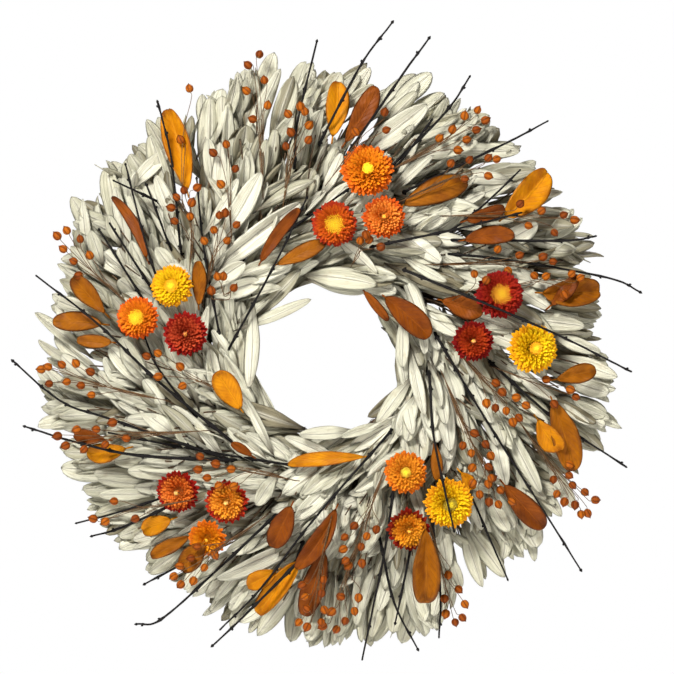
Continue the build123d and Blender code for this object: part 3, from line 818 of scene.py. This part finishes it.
def make_twigs(name, material, seed):
    """The bare twigs of one sixth of the ring, with knots and buds."""
    rng = np.random.default_rng(seed)
    pile = Pile()
    for part in loose_parts(name):
        line = polyline_of(part)
        line = np.vstack([line[0] - unit(line[1] - line[0]) * 12 * MM + SUNK, line])
        length = np.linalg.norm(np.diff(line, axis=0), axis=1).sum()
        count = max(14, int(length / (5 * MM)))
        path = smooth_line(line, count)
        wander = np.cumsum(rng.normal(0, 0.16 * MM, path.shape), axis=0)
        path += wander * np.linspace(0, 1, count)[:, None] * 0.6
        thick = TWIG_ROOT * rng.uniform(0.8, 1.15)
        radii = np.linspace(thick, TWIG_TIP, count) * rng.normal(1.0, 0.05, count)
        knots = np.arange(int(rng.uniform(3, 6)), count - 1, int(rng.uniform(5, 8)))
        radii[knots] *= 1.5
        pile.add(*tube(path, radii, 8))
        for turn, knot in enumerate(knots):
            forward = unit(path[knot + 1] - path[knot])
            side = unit(np.cross(forward, FRONT)) * (-1) ** turn
            add_bud(pile, path[knot] + side * radii[knot] * 0.7, unit(forward + 0.7 * side), 1.1 * MM)
        forward = unit(path[-1] - path[-2])
        add_bud(pile, path[-1] - forward * 1.5 * MM, forward, rng.uniform(1.0, 1.7) * MM)
    piece = pile.build(f"{name}_set", material)
    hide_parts(name)


# ---- flax

def add_pod(pile, base, axis, radius, rng):
    """A seed pod: a five-seamed globe with a small point, on a star of sepals."""
    side = unit(np.cross(axis, UP + 0.31 * FRONT))
    other = np.cross(axis, side)
    rows, sides = 9, 20
    turns = np.linspace(0, 2 * math.pi, sides, endpoint=False)
    start = rng.uniform(0, 2)
    crease = np.exp(-(np.sin(2.5 * turns) / 0.3) ** 2)
    verts, seams = [], []
    for row in range(1, rows):
        v = row / rows
        flat = radius * math.sin(math.pi * v) ** 0.8
        high = radius * (1 - math.cos(math.pi * v)) + (0.25 * radius if row == rows - 1 else 0)
        flat = flat * (0.45 if row == rows - 1 else 1)
        seam = 1 - 0.10 * crease * math.sin(math.pi * v)
        ring = np.outer(np.cos(turns + start) * seam, side) + np.outer(np.sin(turns + start) * seam, other)
        verts.append(base + axis * high + flat * ring)
        seams.append(np.maximum(crease, 0.9 if row == rows - 1 else 0.0))
    verts.append([base, base + axis * radius * 2.45])
    seams.append(np.ones(2))
    pile.add(np.concatenate(verts), round_faces(rows - 1, sides), tint=rng.uniform(0, 1), sepal=0.0,
             seam=np.concatenate(seams))
    for k in range(5):
        out = spoke(k * 2 * math.pi / 5, side, other)
        root = base - axis * 0.1 * radius
        verts, faces, _, _ = blade(root, out * 0.8 + axis * 0.35, axis * 0.8 - out * 0.5, radius * 1.05,
                                   radius * 0.5, peak=0.4, round_off=0.9, bend=0.9, rows=5, columns=3,
                                   thick=0.25 * MM, cup=0.1)
        pile.add(verts, faces, tint=0.5, sepal=1.0, seam=0.0)


def make_flax(name, pod_material, stem_material, seed):
    """The pods of one sixth of the ring, each on its own thin stem from the root of its sprig."""
    rng = np.random.default_rng(seed)
    parts = loose_parts(name)
    stems = [part for part in parts if largest_side(part) > POD_LARGEST]
    pods = [part for part in parts if largest_side(part) <= POD_LARGEST]
    pod_pile, stem_pile = Pile(), Pile()
    for pod in pods:
        centre = box_middle(pod)
        radius = largest_side(pod) / 2
        stem = min(stems, key=lambda points: np.linalg.norm(points - centre, axis=1).min())
        tie = stem[np.linalg.norm(stem - centre, axis=1).argmin()]
        root = min(stem, key=ring_radius)
        axis = unit(unit(centre - tie) + 0.2 * rng.normal(size=3))
        reach = np.linalg.norm(centre - root)
        axis_main = unit(max(stem, key=lambda point: np.linalg.norm(point - root)) - root)
        bend = root + axis_main * reach * 0.55 + rng.normal(0, 1.5, 3) * MM
        base = centre - axis * radius
        sunk = root - axis_main * 10 * MM + 0.8 * SUNK
        path = smooth_line([sunk, root, bend, base - axis * 5 * MM + rng.normal(0, 0.8, 3) * MM, base], 15)
        stem_pile.add(*tube(path, np.linspace(0.42, 0.3, 15) * MM, 5))
        add_pod(pod_pile, base, axis, radius * rng.uniform(0.94, 1.12), rng)
    piece = pod_pile.build(f"{name}_pods", pod_material)
    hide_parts(name)
    stalks = stem_pile.build(f"{name}_stems", stem_material)


def pod_material():
    """Orange-brown seed pods with dark seams, and pale sepals."""
    nodes = Nodes("flax_pod", 0.5, 0.06)
    grain = nodes.noise(500.0, 4.0)
    base = nodes.ramp(nodes.attribute("tint"), [(0.0, (0.15, 0.030, 0.003)), (0.5, (0.24, 0.052, 0.003)),
                                                (1.0, (0.35, 0.090, 0.004))])
    colour = nodes.mix(nodes.span(grain, 0.45, 0.75, 0.0, 0.6), base, (0.16, 0.035, 0.01))
    colour = nodes.mix(nodes.times(nodes.attribute("seam"), 0.8), colour, (0.045, 0.010, 0.002))
    colour = nodes.mix(nodes.attribute("sepal"), colour, (0.42, 0.22, 0.07))
    return nodes.finish(colour, grain, 0.0003)


# ---- strawflowers

# Foot, body, tip and outer-rim colours of the bracts, the eye's share of the radius (0 for a tight head),
# and the colour of the florets round the eye.
# On most tight heads the tip colour is lighter than the body: partly the bracts' paler dry tips, partly
# painted highlight for the glints on them.
HEADS = {
    "top_amber": ((0.90, 0.55, 0.02), (0.88, 0.34, 0.01), (0.82, 0.22, 0.01), (0.72, 0.13, 0.01), 0.20,
                  (0.92, 0.62, 0.02)),
    "top_red": ((0.90, 0.48, 0.02), (0.80, 0.20, 0.01), (0.58, 0.07, 0.01), (0.40, 0.03, 0.01), 0.42,
                (0.90, 0.55, 0.02)),
    "top_orange": ((0.74, 0.22, 0.02), (0.90, 0.26, 0.01), (0.94, 0.34, 0.06), (0.64, 0.09, 0.01), 0.0,
                   (0.88, 0.44, 0.06)),
    "left_yellow": ((0.94, 0.66, 0.01), (0.95, 0.66, 0.01), (0.94, 0.60, 0.01), (0.80, 0.34, 0.01), 0.30,
                    (0.85, 0.42, 0.01)),
    "left_orange": ((0.92, 0.60, 0.02), (0.88, 0.32, 0.01), (0.80, 0.18, 0.01), (0.68, 0.10, 0.01), 0.36,
                    (0.92, 0.60, 0.02)),
    "left_red": ((0.30, 0.02, 0.01), (0.44, 0.035, 0.010), (0.60, 0.09, 0.03), (0.30, 0.012, 0.008), 0.0,
                 (0.50, 0.14, 0.05)),
    "right_red": ((0.80, 0.34, 0.02), (0.46, 0.035, 0.01), (0.36, 0.02, 0.01), (0.28, 0.012, 0.01), 0.42,
                  (0.80, 0.34, 0.02)),
    "right_crimson": ((0.66, 0.16, 0.02), (0.58, 0.08, 0.01), (0.46, 0.04, 0.01), (0.20, 0.006, 0.006), 0.0,
                      (0.76, 0.34, 0.10)),
    "right_yellow": ((0.92, 0.56, 0.01), (0.95, 0.66, 0.01), (0.95, 0.64, 0.01), (0.90, 0.42, 0.01), 0.24,
                     (0.82, 0.40, 0.01)),
    "bottom_amber": ((0.86, 0.45, 0.03), (0.86, 0.36, 0.02), (0.84, 0.30, 0.02), (0.70, 0.16, 0.01), 0.22,
                     (0.60, 0.42, 0.03)),
    "bottom_yellow": ((0.90, 0.58, 0.01), (0.95, 0.66, 0.01), (0.94, 0.60, 0.01), (0.86, 0.36, 0.01), 0.26,
                      (0.36, 0.26, 0.02)),
    "bottom_orange": ((0.80, 0.28, 0.01), (0.96, 0.36, 0.01), (0.98, 0.44, 0.03), (0.24, 0.008, 0.006), 0.0,
                      (0.90, 0.40, 0.05)),
    "low_left_red": ((0.60, 0.14, 0.02), (0.80, 0.17, 0.015), (0.88, 0.26, 0.04), (0.28, 0.008, 0.006), 0.0,
                     (0.60, 0.40, 0.14)),
    "low_left_rust": ((0.70, 0.22, 0.01), (0.94, 0.33, 0.01), (0.96, 0.42, 0.04), (0.38, 0.014, 0.008), 0.0,
                      (0.85, 0.60, 0.20)),
    "low_left_gold": ((0.86, 0.36, 0.02), (0.95, 0.38, 0.01), (0.94, 0.36, 0.01), (0.78, 0.18, 0.01), 0.0,
                      (0.90, 0.50, 0.04)),
}
EYE_LIGHT = (0.98, 0.78, 0.03)
GOLDEN_ANGLE = math.pi * (3 - math.sqrt(5))


def make_head(name, seed):
    """A strawflower head: spiral rows of bracts round an eye of florets or a tight middle."""
    rng = np.random.default_rng(seed)
    foot, body, tip, rim, eye_share, ring_colour = HEADS[name.removeprefix("strawflower_")]
    is_open = eye_share > 0
    points = node_points(name)
    middle, axes = main_axes(points)
    facing = towards_front(axes[2])
    depth = (points - middle) @ facing
    flat = np.linalg.norm((points - middle) - np.outer(depth, facing), axis=1)
    radius = flat.max()
    height = depth.max() - depth.min()
    base = middle + facing * depth.min()
    side = unit(np.cross(facing, UP))
    other = np.cross(facing, side)
    eye = eye_share if is_open else 0.03
    bracts = 210 if is_open else 200
    dome = 0.8 if is_open else 0.72
    pile = Pile()
    for index in range(bracts):
        u = index / (bracts - 1)
        out = spoke(index * GOLDEN_ANGLE, side, other)
        swirl = unit(np.cross(facing, out))
        tip_flat = radius * ((1 - u) ** 0.52 * (1 - eye) + eye) * rng.normal(1.0, 0.02)
        tip_high = height * (0.30 + 0.70 * math.sin(0.5 * math.pi * u ** dome)) * rng.normal(1.0, 0.03)
        foot_flat = max(0.5 * eye, 0.62 * (1 - u)) * radius * 0.62
        foot_high = height * (0.10 + 0.35 * u)
        start = base + out * foot_flat + facing * foot_high
        end = base + out * tip_flat + facing * tip_high
        along = end - start
        length = np.linalg.norm(along)
        normal = unit(np.cross(along, swirl))
        normal = normal * (1 if normal.dot(facing + 0.2 * out) > 0 else -1)
        curl = np.interp(u, [0, 0.5, 1], [-0.2, 0.1, 0.6] if is_open else [0.0, 0.2, 0.6])
        verts, faces, t, s = blade(
            start, along + swirl * length * rng.normal(0, 0.05), normal, length * 1.06,
            radius * np.interp(u, [0, 1], [0.24, 0.15]), peak=0.62, round_off=0.6, bend=curl,
            cup=0.45, twist=rng.normal(0, 0.08), rows=7, columns=5, thick=0.22 * MM, neck=0.35)
        pile.add(verts, faces, along=t, across=s, tint=rng.uniform(0, 1), outer=np.clip(2.1 - 4.2 * u, 0, 1))
    material = petal_material(f"{name}_petals", foot, body, tip, rim)
    piece = pile.build(f"{name}_head", material)
    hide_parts(name)
    core = Pile()
    add_core(core, base, facing, side, other, radius, height, eye if is_open else 0.10, is_open, rng)
    disc = core.build(f"{name}_eye", eye_disc_material(f"{name}_florets", ring_colour))


def add_core(pile, base, facing, side, other, radius, height, eye, is_open, rng):
    """The solid receptacle inside a head, and on an open head the disc of tiny florets."""
    profile = [(0.10, 0.02), (0.42, 0.06), (0.52, 0.22), (0.44, 0.48), (0.30, 0.66), (0.12, 0.74)]
    line = [base + facing * height * high for _, high in profile]
    pile.add(*tube(line, [radius * flat for flat, _ in profile], 14), tint=0.0)
    florets = 120 if is_open else 24
    for index in range(florets):
        reach = eye * 1.12 * radius * math.sqrt((index + 0.5) / florets)
        out = spoke(index * GOLDEN_ANGLE, side, other)
        rise = 0.94 + 0.12 * math.cos(reach / (eye * radius) * 1.4)
        top = base + out * reach + facing * height * rise * rng.normal(1, 0.02)
        lean = unit(facing + out * 0.5 * reach / (eye * radius))
        low = top - lean * 3.2 * MM
        verts, faces = tube([low, low + lean * 1.8 * MM, top - lean * 0.5 * MM, top],
                            np.array([0.45, 0.55, 0.62, 0.3]) * MM, 6)
        ring = 0.5 + 0.5 * math.cos(math.pi * min(1.0, 1.25 * reach / (eye * radius))) if is_open else 0.0
        pile.add(verts, faces, tint=np.clip(ring + rng.normal(0, 0.12 if is_open else 0.3), 0, 1))


def eye_disc_material(name, ring_colour):
    """Florets that go from the ring colour to the light middle."""
    nodes = Nodes(name, 0.6)
    grain = nodes.noise(900.0, 3.0)
    colour = nodes.mix(nodes.attribute("tint"), ring_colour, EYE_LIGHT)
    colour = nodes.mix(nodes.span(grain, 0.5, 0.8, 0.0, 0.4), colour, (0.50, 0.22, 0.01))
    return nodes.finish(colour, grain, 0.0003)


# ---- ring, wire and glue

def make_cane(name, material, seed):
    """One gnarled cane with ends that taper off. It is held to its CAD ring where the loop hangs."""
    rng = np.random.default_rng(seed)
    points = node_points(name)
    low, high = points.min(0), points.max(0)
    thick = (high[1] - low[1]) / 2
    radius = (high[0] - low[0]) / 2 - thick
    depth = (high[1] + low[1]) / 2
    start = math.radians(70 * seed)
    count = 150
    turns = start + np.linspace(0, math.radians(352), count)
    phase = rng.uniform(0, 6, 4)
    line, radii, limits = [], [], []
    for turn in turns:
        free = min(1.0, max(0.0, radius * abs(2 * math.sin(turn / 2)) / LOOP_ROOM - 0.4))
        sway = free * (1.1 * math.sin(3 * turn + phase[0]) + 0.8 * math.sin(7 * turn + phase[1]))
        rise = free * (0.9 * math.sin(4 * turn + phase[2]) + 0.6 * math.sin(9 * turn + phase[3]))
        line.append(ring_point(turn, radius + sway * MM, depth + rise * MM))
        limits.append(thick * (0.97 if free == 0 else 2))
        radii.append(thick * (0.93 + 0.07 * math.sin(5 * turn + phase[1])) * rng.normal(1, 0.03))
    radii = np.array(radii)
    radii[::17] *= 1.12
    radii[:5] *= np.linspace(0.35, 1, 5)
    radii[-5:] *= np.linspace(1, 0.35, 5)
    pile = Pile()
    pile.add(*tube(line, np.minimum(radii, limits), 12))
    piece = pile.build(f"{name}_vine", material)
    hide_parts(name)


def make_binding(material):
    """The wire wound round the canes: a group of turns for each bunch, and a long step between groups."""
    points = node_points("binding_wire")
    low, high = points.min(0), points.max(0)
    thick = 0.5 * MM
    snug = 1.4 * MM
    round_radius = (high[1] - low[1]) / 2 - thick
    middle_radius = (high[0] - low[0]) / 2 - round_radius - thick
    round_radius -= snug
    depth = (high[1] + low[1]) / 2
    bunches, turns_each, per_turn = len(BUNCH_LINES), 3, 26
    line = []
    clear = math.radians(9)
    step = (2 * math.pi - 2 * clear) / bunches
    for bunch in range(bunches):
        for item in range(turns_each * per_turn):
            share = item / (turns_each * per_turn)
            wound = 2 * math.pi * turns_each * share
            angle = clear + step * (bunch + (0.2 * share if share < 0.8 else 0.16 + 4.2 * (share - 0.8)))
            flat = round_radius * math.cos(wound)
            deep = round_radius * math.sin(wound)
            line.append(ring_point(angle, middle_radius + flat, depth + deep))
    pile = Pile()
    pile.add(*tube(line, np.full(len(line), thick), 6))
    piece = pile.build("binding_wire_wound", material)
    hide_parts("binding_wire")


def make_glue(material, seed):
    """Lumpy dabs of glue under the heads."""
    rng = np.random.default_rng(seed)
    pile = Pile()
    for part in loose_parts("glue_dabs"):
        middle = box_middle(part)
        rows, sides = 7, 14
        radius = 0.42 * largest_side(part)
        line = [middle - FRONT * 4 * MM + FRONT * 8 * MM * row / (rows - 1) for row in range(rows)]
        radii = [radius * (1 - 0.3 * row / (rows - 1)) * rng.normal(1, 0.05) for row in range(rows)]
        verts, faces = tube(line, radii, sides)
        verts = verts + rng.normal(0, 0.25 * MM, verts.shape)
        pile.add(verts, faces)
    piece = pile.build("glue_blobs", material)
    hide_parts("glue_dabs")


# ---- build everything

grey_leaf = grey_leaf_material()
stem_bark = bark_material("stem_bark", (0.035, 0.02, 0.01), (0.16, 0.095, 0.045), 300.0)
vine_bark = bark_material("vine_bark", (0.06, 0.032, 0.018), (0.20, 0.12, 0.07), 260.0)
black_bark = bark_material("black_bark", (0.005, 0.0045, 0.0045), (0.018, 0.015, 0.013), 700.0, 0.6, 0.08)
flax_stem = bark_material("flax_stem", (0.07, 0.035, 0.014), (0.20, 0.10, 0.035), 600.0)
pods = pod_material()
LEAF_COLOURS = {
    "golden": ((0.50, 0.19, 0.003), (0.36, 0.115, 0.003), (0.17, 0.040, 0.003)),
    "amber": ((0.27, 0.085, 0.003), (0.16, 0.044, 0.003), (0.06, 0.016, 0.003)),
    "rust": ((0.20, 0.048, 0.003), (0.115, 0.025, 0.003), (0.05, 0.012, 0.003)),
}
TONES = {tone: preserved_leaf_material(f"{tone}_leaf", *three) for tone, three in LEAF_COLOURS.items()}
# The first seed of each kind of piece.
BUNCH_SEED, PRESERVED_SEED, TWIG_SEED, FLAX_SEED, HEAD_SEED = 100, 300, 400, 500, 600
CANE_SEED = 1
GLUE_SEED = 77

for number, name in enumerate(BUNCH_LINES):
    make_bunch(name, grey_leaf, stem_bark, BUNCH_SEED + number)
for number, name in enumerate(name for name in NODES if "_leaves_" in name):
    tone = name.split("_")[0]
    make_preserved(name, TONES[tone], PRESERVED_SEED + number)
for number, name in enumerate(nodes_named("black_twigs")):
    make_twigs(name, black_bark, TWIG_SEED + number)
for number, name in enumerate(nodes_named("flax_sprigs")):
    make_flax(name, pods, flax_stem, FLAX_SEED + number)
for number, name in enumerate(nodes_named("strawflower")):
    make_head(name, HEAD_SEED + number)
for number, name in enumerate(nodes_named("base_cane")):
    make_cane(name, vine_bark, CANE_SEED + number)
make_binding(grain_material("binding_wire", (0.07, 0.065, 0.035), (0.14, 0.13, 0.07), 800.0, 0.4))
make_glue(grain_material("glue", (0.60, 0.52, 0.34), (0.78, 0.72, 0.55), 300.0, 0.3), GLUE_SEED)
loop_metal = grain_material("loop_wire", (0.30, 0.29, 0.27), (0.52, 0.51, 0.49), 900.0, 0.38, 1.0, 0.0001)
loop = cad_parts["hanging_loop"]
loop.data.materials.clear()
loop.data.materials.append(loop_metal)

# ---- stage, lights, camera

FLOOR_REACH = 6
FLOOR_DROP = 0.75
size = CAD_HIGH - CAD_LOW
floor_mesh = bpy.data.meshes.new("floor")
reach = FLOOR_REACH * size.x
drop = CAD_LOW.z - FLOOR_DROP * size.z
corners = [(x * reach, y * reach, drop) for x, y in ((-1, -1), (1, -1), (1, 1), (-1, 1))]
floor_mesh.from_pydata(corners, [], [(0, 1, 2, 3)])
floor = bpy.data.objects.new("floor", floor_mesh)
floor_paint = Nodes("floor_paint", 0.9)
grain = floor_paint.noise(4.0, 2.0)
floor_paint.shader.inputs["Emission Color"].default_value = (1, 1, 1, 1)
floor_paint.shader.inputs["Emission Strength"].default_value = 0.55
paint = floor_paint.mix(grain, (0.90, 0.90, 0.90), (0.94, 0.94, 0.94))
floor_mesh.materials.append(floor_paint.finish(paint))
bpy.context.scene.collection.objects.link(floor)


def add_light(name, place, aim, power, width):
    """A square soft light that faces a point."""
    data = bpy.data.lights.new(name, "AREA")
    data.energy = power
    data.size = width
    lamp = bpy.data.objects.new(name, data)
    lamp.location = place
    lamp.rotation_euler = (Vector(aim) - Vector(place)).to_track_quat("-Z", "Y").to_euler()
    bpy.context.scene.collection.objects.link(lamp)


# Each light's name, its place from the wreath's middle, its power in watts and its width.
LIGHTS = (("key", (-0.85, -1.95, 1.3), 104, 0.6), ("fill", (1.6, -1.6, 0.2), 17, 1.6),
          ("back", (0.6, 1.9, 1.2), 55, 1.4))
target = Vector((CENTRE[0], -0.04, CENTRE[2]))
for name, offset, power, width in LIGHTS:
    add_light(name, target + Vector(offset), target, power, width)

# The background is white to the camera, and gives the object only a faint light.
AMBIENT = 0.12
world = bpy.data.worlds.new("world")
world.use_nodes = True
sky = world.node_tree
sky.nodes["Background"].inputs["Color"].default_value = (1, 1, 1, 1)
for_eye = sky.nodes.new("ShaderNodeLightPath").outputs["Is Camera Ray"]
strength = sky.nodes.new("ShaderNodeMapRange")
strength.inputs["To Min"].default_value = AMBIENT
strength.inputs["To Max"].default_value = 1.0
sky.links.new(for_eye, strength.inputs["Value"])
sky.links.new(strength.outputs[0], sky.nodes["Background"].inputs["Strength"])
bpy.context.scene.world = world
bpy.context.scene.view_settings.view_transform = "Standard"

# The width seen at the wreath's middle depth, and where the camera aims, from the ring's centre.
VIEW_WIDTH = 0.645
VIEW_DEPTH = -0.065
VIEW_SHIFT = (0.0115, 0.020)
camera_data = bpy.data.cameras.new("camera")
camera_data.lens = 180
camera_data.sensor_width = 36
camera = bpy.data.objects.new("camera", camera_data)
distance = VIEW_WIDTH * camera_data.lens / camera_data.sensor_width
camera.location = (CENTRE[0] + VIEW_SHIFT[0], VIEW_DEPTH - distance, CENTRE[2] + VIEW_SHIFT[1])
camera.rotation_euler = (math.pi / 2, 0, 0)
bpy.context.scene.collection.objects.link(camera)
bpy.context.scene.camera = camera
